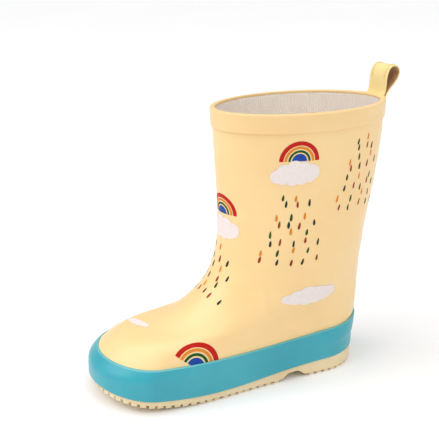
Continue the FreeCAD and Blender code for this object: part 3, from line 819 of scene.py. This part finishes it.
def on_wall(row, angle, across, rise):
    """Row and angle of places given in millimetres to the right and up from a centre."""
    across, rise = np.asarray(across, float), np.asarray(rise, float)
    rows = np.full_like(across, row)
    angles = np.full_like(across, angle)
    steps = 6
    for _ in range(steps):
        up, side = across_frame(rows, angles)
        uu = (up * up).sum(-1)
        ss = (side * side).sum(-1)
        us = (up * side).sum(-1)
        level = unit(side - up * (us / uu)[..., None])
        climb = unit(up)
        want = level * (across / steps)[..., None] + climb * (rise / steps)[..., None]
        a = (want * up).sum(-1)
        b = (want * side).sum(-1)
        det = uu * ss - us * us
        rows = rows + (a * ss - b * us) / det
        angles = angles + (b * uu - a * us) / det
    return rows, angles


def ink(name, shapes, materials, lift):
    """Films of ink: each shape is a centre (row, degrees), a tilt, rows of points and a kind."""
    lumps = []
    for row, degrees, tilt, rings, kind in shapes:
        turn = math.radians(tilt)
        ring = np.asarray(rings, float)
        closed = np.allclose(ring[:, 0], ring[:, -1])
        if closed:
            ring = ring[:, :-1]
        count, columns = ring.shape[:2]
        ring = ring.reshape(-1, 2)
        if closed:
            ring = np.concatenate([ring, [ring[:columns].mean(0)]])
        across = ring[:, 0] * math.cos(turn) - ring[:, 1] * math.sin(turn)
        rise = ring[:, 0] * math.sin(turn) + ring[:, 1] * math.cos(turn)
        rows, angles = on_wall(row, math.radians(degrees), across, rise)
        rows = np.clip(rows, 0.03, 0.999)
        base = relief(rows, angles % TURN) * smooth(rows / 0.08) + lift
        total = len(rows)
        sheet_faces = grid_faces(count, columns, False, closed)
        if closed:
            sheet_faces += [(total - 1, (j + 1) % columns, j) for j in range(columns)]
            rim = [(count - 1) * columns + j for j in range(columns)]
        else:
            rim = list(range(columns)) + [i * columns + columns - 1 for i in range(1, count)]
            rim += [(count - 1) * columns + j for j in range(columns - 2, -1, -1)]
            rim += [i * columns for i in range(count - 2, 0, -1)]
        faces = sheet_faces + [tuple(total + i for i in face[::-1]) for face in sheet_faces]
        faces += [(rim[i], rim[(i + 1) % len(rim)], total + rim[(i + 1) % len(rim)], total + rim[i])
                  for i in range(len(rim))]
        points = np.concatenate([wall(rows, angles, base + INK_THICK), wall(rows, angles, base)])
        lumps.append((points, faces, kind))
    piece = joined(name, lumps)
    for material in materials:
        piece.data.materials.append(material)
    orient(piece)
    piece.data.set_sharp_from_angle(angle=math.radians(40))
    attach(piece, "boot")


def half_ring(inner, outer):
    """Upper half of a ring as rows of points, from its inner to its outer edge."""
    turns = np.radians(np.linspace(0, 180, 41))
    return [np.stack([r * np.cos(turns), r * np.sin(turns)], -1) for r in np.linspace(inner, outer, 4)]


def spread(outline, shares=(0.02, 0.35, 0.7, 1.0)):
    """Rows from the middle out to a closed outline."""
    outline = np.asarray(outline, float)
    closed = np.concatenate([outline, outline[:1]])
    return [closed * share for share in shares]


def cloud(width, seed, tall=1.0):
    """Outline of a puffy cloud: the edge of a heap of circles seen from its middle."""
    draw = np.random.default_rng(seed)
    k = width / 36.0
    puffs = [(-12.5, -1.6, 4.6), (-7.0, 1.6, 5.2), (-0.5, 3.2, 5.6), (6.0, 2.4, 5.4), (12.0, 0.2, 5.4),
             (-8.5, -3.2, 3.9), (-2.0, -3.6, 4.4), (4.5, -3.4, 4.2), (10.0, -2.6, 4.0)]
    puffs = [(x * k + draw.uniform(-0.5, 0.5), y * k + draw.uniform(-0.3, 0.3), r * k) for x, y, r in puffs]
    outline = []
    for turn in np.linspace(0, TURN, 72, endpoint=False):
        way = (math.cos(turn), math.sin(turn))
        reach = 0.5
        for x, y, r in puffs:
            along = x * way[0] + y * way[1]
            rest = r * r - (x * x + y * y - along * along)
            if rest > 0:
                reach = max(reach, along + math.sqrt(rest))
        outline.append((reach * way[0], reach * way[1] * tall))
    return spread(outline)


def drop(length, width):
    """Long drop, a little fuller at its lower end."""
    turns = np.linspace(0, TURN, 12, endpoint=False)
    outline = [(width / 2 * math.sin(t) * (1 - 0.25 * math.cos(t)), length / 2 * math.cos(t)) for t in turns]
    return spread(outline, (0.05, 0.6, 1.0))


def fan(draw):
    """Places of the drops below a cloud, in mm: staggered rows that widen downward, with their colours."""
    places = []
    for i in range(8):
        y = -14.0 - 5.7 * i
        half = 10.0 + 1.9 * i
        count = 2 + (i + 1) // 3 + i % 2
        for k in range(count):
            x = (2 * (k + 0.5) / count - 1) * half + (2.2 if i % 2 else -2.2)
            places.append((x + draw.uniform(-1.6, 1.6), y + draw.uniform(-1.5, 1.5), (3 * i + 2 * k) % 4))
    return places


def rain(row, degrees, reach, seed):
    """Drops fanned out below a cloud, down to a reach in millimetres."""
    draw = np.random.default_rng(seed)
    shapes = []
    for x, y, kind in fan(draw):
        if -y < reach:
            rows, angles = on_wall(row, math.radians(degrees), [x], [y])
            tilt = -math.degrees(math.atan2(-x, 120.0)) * 0.3 + draw.uniform(-10, 2)
            shape = drop(draw.uniform(3.9, 4.9), draw.uniform(1.4, 1.75))
            shapes.append((rows[0], math.degrees(angles[0]), tilt, shape, kind))
    return shapes


def rainbow(row, degrees, tilt, scale=1.0):
    """Upright arch of four bands with plain gaps between them."""
    bands = [(9.7, 12.3, 0), (7.6, 9.1, 1), (5.4, 6.8, 2), (0.05, 4.6, 3)]
    return [(row, degrees, tilt, half_ring(inner * scale, outer * scale), kind)
            for inner, outer, kind in bands]


ink_red = printed("ink_red", (192, 26, 12))
ink_orange = printed("ink_orange", (222, 134, 46))
ink_green = printed("ink_green", (24, 84, 32))
ink_blue = printed("ink_blue", (26, 70, 160))
ink_cloud = printed("ink_cloud", (238, 226, 222), 6)
ink_dark_green = printed("ink_dark_green", (44, 78, 32))
ink_brown = printed("ink_brown", (150, 60, 34))
ink_teal = printed("ink_teal", (34, 52, 44))

ARCH = [ink_red, ink_orange, ink_green, ink_blue]
DROPS = [ink_dark_green, ink_brown, ink_orange, ink_teal]

# Each motif is a cloud with an arch over it and drops below: row and degrees of the cloud.
MOTIFS = [(0.783, 67.5), (0.60, 0.0), (0.80, 232.0), (0.55, 292.0)]
SHIN_MOTIF = 1
SHIN_REACH = 44.0
RAIN_REACH = 60.0
clouds = [(row, degrees, 0.0, cloud(32, i), 0) for i, (row, degrees) in enumerate(MOTIFS)]
clouds += [(0.362, 99.5, 32.0, cloud(43, 11, 0.62), 0), (0.252, 342.0, 28.0, cloud(21, 12, 0.6), 0),
           (0.40, 236.0, -6.0, cloud(40, 13, 0.7), 0), (0.86, 322.0, 5.0, cloud(30, 14), 0)]
ink("printed_clouds", clouds, [ink_cloud], 0.14)
arches = []
for motif_row, motif_turn in MOTIFS:
    arches += rainbow(motif_row + 0.043, motif_turn + 2.5, 0.0)
arches += rainbow(0.108, 62.5, -4.0, 1.25)
arches += rainbow(0.125, 296.0, 6.0)
ink("printed_arches", arches, ARCH, 0.03)
drops = []
for number, (motif_row, motif_turn) in enumerate(MOTIFS):
    drops += rain(motif_row, motif_turn, SHIN_REACH if number == SHIN_MOTIF else RAIN_REACH, number)
drops += rain(0.965, 119.0, RAIN_REACH, 9)
ink("printed_rain", drops, DROPS, 0.03)


# ---- pull loop ----
def loop_outline(inset, count):
    """Teardrop centreline of the strap in y, z about the hinge, before it leans back."""
    half = LOOP_DEPTH / 2
    top = LOOP_HEIGHT - half
    foot = LOOP_STRAP + 0.05
    knots = [(foot, -3.2), (foot, -1.0), (half * 0.44, LOOP_HEIGHT * 0.137)]
    knots += [(half * 0.76, LOOP_HEIGHT * 0.36), (half, top)]
    knots += [(half * math.cos(a), top + half * math.sin(a)) for a in (math.pi / 6, math.pi / 3, math.pi / 2)]
    right = np.array(knots)
    left = right[:-1][::-1] * (-1, 1)
    path = np.concatenate([right, left])
    steps = np.concatenate([[0], np.cumsum(np.linalg.norm(np.diff(path, axis=0), axis=1))])
    along = np.linspace(0, steps[-1], count)
    line = np.stack([natural(steps, path[:, 0])(along), natural(steps, path[:, 1])(along)], -1)
    lean = np.gradient(line, axis=0)
    normal = unit(np.stack([lean[:, 1], -lean[:, 0]], -1))
    return line - normal * np.asarray(inset)[..., None], normal


def leaned(points):
    """Leans the loop back about its hinge and puts it in the design frame."""
    turn = -math.radians(LOOP_LEAN)
    y = points[:, 1] * math.cos(turn) - points[:, 2] * math.sin(turn)
    z = points[:, 1] * math.sin(turn) + points[:, 2] * math.cos(turn)
    return np.stack([points[:, 0], y, z], -1) + HINGE - SHIFT


LOOP_STEPS = 150


def build_loop():
    thick = LOOP_STRAP - 0.15
    half = LOOP_WIDTH / 2
    profile = [(-half + 0.35, 0.0), (-half + 0.1, 0.12), (-half, 0.4), (-half, thick - 0.4),
               (-half + 0.1, thick - 0.12)]
    profile += [(x, thick) for x in np.linspace(-half + 0.35, half - 0.35, 15)]
    profile += [(half - 0.1, thick - 0.12), (half, thick - 0.4), (half, 0.4), (half - 0.1, 0.12)]
    profile += [(x, 0.0) for x in np.linspace(half - 0.35, -half + 0.35, 15)[:-1]]
    rings = []
    for x, inset in profile:
        edge = 1 - (abs(x) / half) ** 4
        line, normal = loop_outline(np.full(LOOP_STEPS, inset), LOOP_STEPS)
        rings.append(np.column_stack([np.full(LOOP_STEPS, x), line - normal * 0.1 * (edge - 1)]))
    grid = np.stack(rings, 1)
    piece = slab_mesh("pull_loop_strap", [leaned(ring) for ring in grid])
    orient(piece)
    piece.data.materials.append(loop_face)
    piece.data.materials.append(loop_back_cloth_and_shade)
    columns = len(profile)
    kinds = np.zeros(len(piece.data.polygons), np.int32)
    inner = [depth > thick - 0.3 for x, depth in profile]
    back = [j for j in range(columns) if inner[j] and inner[(j + 1) % columns]]
    for i in range(LOOP_STEPS - 1):
        for j in back:
            kinds[i * columns + j] = 1
    piece.data.polygons.foreach_set("material_index", kinds)
    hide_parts("pull_loop")
    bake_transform(piece)


build_loop()


def capsule(start, end, radius, sides=8):
    """Rounded thread between two points."""
    start, end = np.asarray(start, float), np.asarray(end, float)
    along = unit(end - start)
    side = unit(np.cross(along, (0.3, 0.5, 0.81)))
    other = np.cross(along, side)
    length = np.linalg.norm(end - start)
    points, faces = [], []
    rings = [(0.0, 0.35), (0.12, 0.8), (0.3, 1.0), (0.7, 1.0), (0.88, 0.8), (1.0, 0.35)]
    for share, wide in rings:
        for i in range(sides):
            turn = TURN * i / sides
            points.append(start + along * length * share
                          + (side * math.cos(turn) + other * math.sin(turn)) * radius * wide)
    for i in range(len(rings) - 1):
        for j in range(sides):
            k = (j + 1) % sides
            faces.append((i * sides + j, i * sides + k, (i + 1) * sides + k, (i + 1) * sides + j))
    faces.append(tuple(range(sides))[::-1])
    faces.append(tuple((len(rings) - 1) * sides + j for j in range(sides)))
    return np.array(points), faces


def build_loop_stitches():
    line, normal = loop_outline(np.full(121, -0.2), 121)
    lumps = []
    for i in range(0, 119, 3):
        start, end = line[i], line[i + 2]
        if min(start[1], end[1]) > 0.42 * LOOP_HEIGHT:
            for x in (LOOP_WIDTH / 2 - 2.4, 2.4 - LOOP_WIDTH / 2):
                pair = leaned(np.array([(x, start[0], start[1]), (x, end[0], end[1])]))
                points, faces = capsule(pair[0], pair[1], 0.27)
                lumps.append((points, faces, 0))
    piece = joined("pull_loop_stitching", lumps)
    finish_piece(piece, "loop", "thread", ["loop_stitches"], thread_cloth)


build_loop_stitches()

# ---- carried-over CAD nodes ----
CAD_FINISH = {
    "outsole": cream_rubber, "toe_puff": ply_rubber, "vamp_ply": ply_rubber, "heel_counter": ply_rubber,
    "lining_seam_tape": tape_cloth, "lining_seam_stitches": thread_cloth, "insole_board": fibre,
    "shank": steel, "forefoot_filler": cork, "heel_filler": cork, "loop_tail": loop_face,
}
for node, material in CAD_FINISH.items():
    for holder in frame["nodes"][node].material_slots:
        holder.material = material

# ---- floor, light and camera ----
WHITE = (0.97, 0.97, 0.975, 1.0)


def build_stage():
    """Plain pale floor, just under the boot."""
    low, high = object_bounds()
    size = 9.0
    corners = [(-size, -size, 0), (size, -size, 0), (size, size, 0), (-size, size, 0)]
    floor_data = bpy.data.meshes.new("floor")
    floor_data.from_pydata(corners, [], [(0, 1, 2, 3)])
    floor = bpy.data.objects.new("floor", floor_data)
    bpy.context.scene.collection.objects.link(floor)
    floor.location.z = low.z - 0.00005
    n = Nodes("pale_floor")
    n.set(Base_Color=WHITE, Specular_IOR_Level=0.12)
    n.rough(n.noise(3), 0.28, 0.34)
    floor_data.materials.append(n.material)


build_stage()


def sun_light(name, way, spread_degrees, power):
    """Broad soft light from a direction."""
    data = bpy.data.lights.new(name, "SUN")
    data.angle = math.radians(spread_degrees)
    data.energy = power
    light = bpy.data.objects.new(name, data)
    light.rotation_mode = "QUATERNION"
    light.rotation_quaternion = Vector(way).to_track_quat("Z", "Y")
    bpy.context.scene.collection.objects.link(light)


sun_light("key", (-0.15, -0.8, 0.75), 55, 1.25)
sun_light("fill", (1.0, 0.3, 0.7), 70, 0.33)
sun_light("top", (0.2, -0.1, 1.0), 70, 1.25)

world = bpy.data.worlds.new("studio")
world.use_nodes = True
world.node_tree.nodes["Background"].inputs["Color"].default_value = (1, 1, 1, 1)
world.node_tree.nodes["Background"].inputs["Strength"].default_value = 0.5
bpy.context.scene.world = world
bpy.context.scene.view_settings.view_transform = "Standard"

CAMERA_AZIMUTH = 63.7
CAMERA_RISE = 18.4
CAMERA_DISTANCE = 515.5
CAMERA_LENS = 67.2
CAMERA_SHIFT = (-0.005, 0.0036)
CAMERA_TARGET = np.array([-11.3, -7.5, 100.5])


def build_camera():
    turn, rise = math.radians(CAMERA_AZIMUTH), math.radians(CAMERA_RISE)
    back = Vector((math.sin(turn) * math.cos(rise), -math.cos(turn) * math.cos(rise), math.sin(rise)))
    data = bpy.data.cameras.new("camera")
    data.sensor_width = 36
    data.lens = CAMERA_LENS
    data.shift_x, data.shift_y = CAMERA_SHIFT
    data.clip_start = 0.01
    camera = bpy.data.objects.new("camera", data)
    camera.location = Vector((CAMERA_TARGET + SHIFT) * MM) + back * CAMERA_DISTANCE * MM
    camera.rotation_mode = "QUATERNION"
    camera.rotation_quaternion = back.to_track_quat("Z", "Y")
    bpy.context.scene.collection.objects.link(camera)
    bpy.context.scene.camera = camera


build_camera()
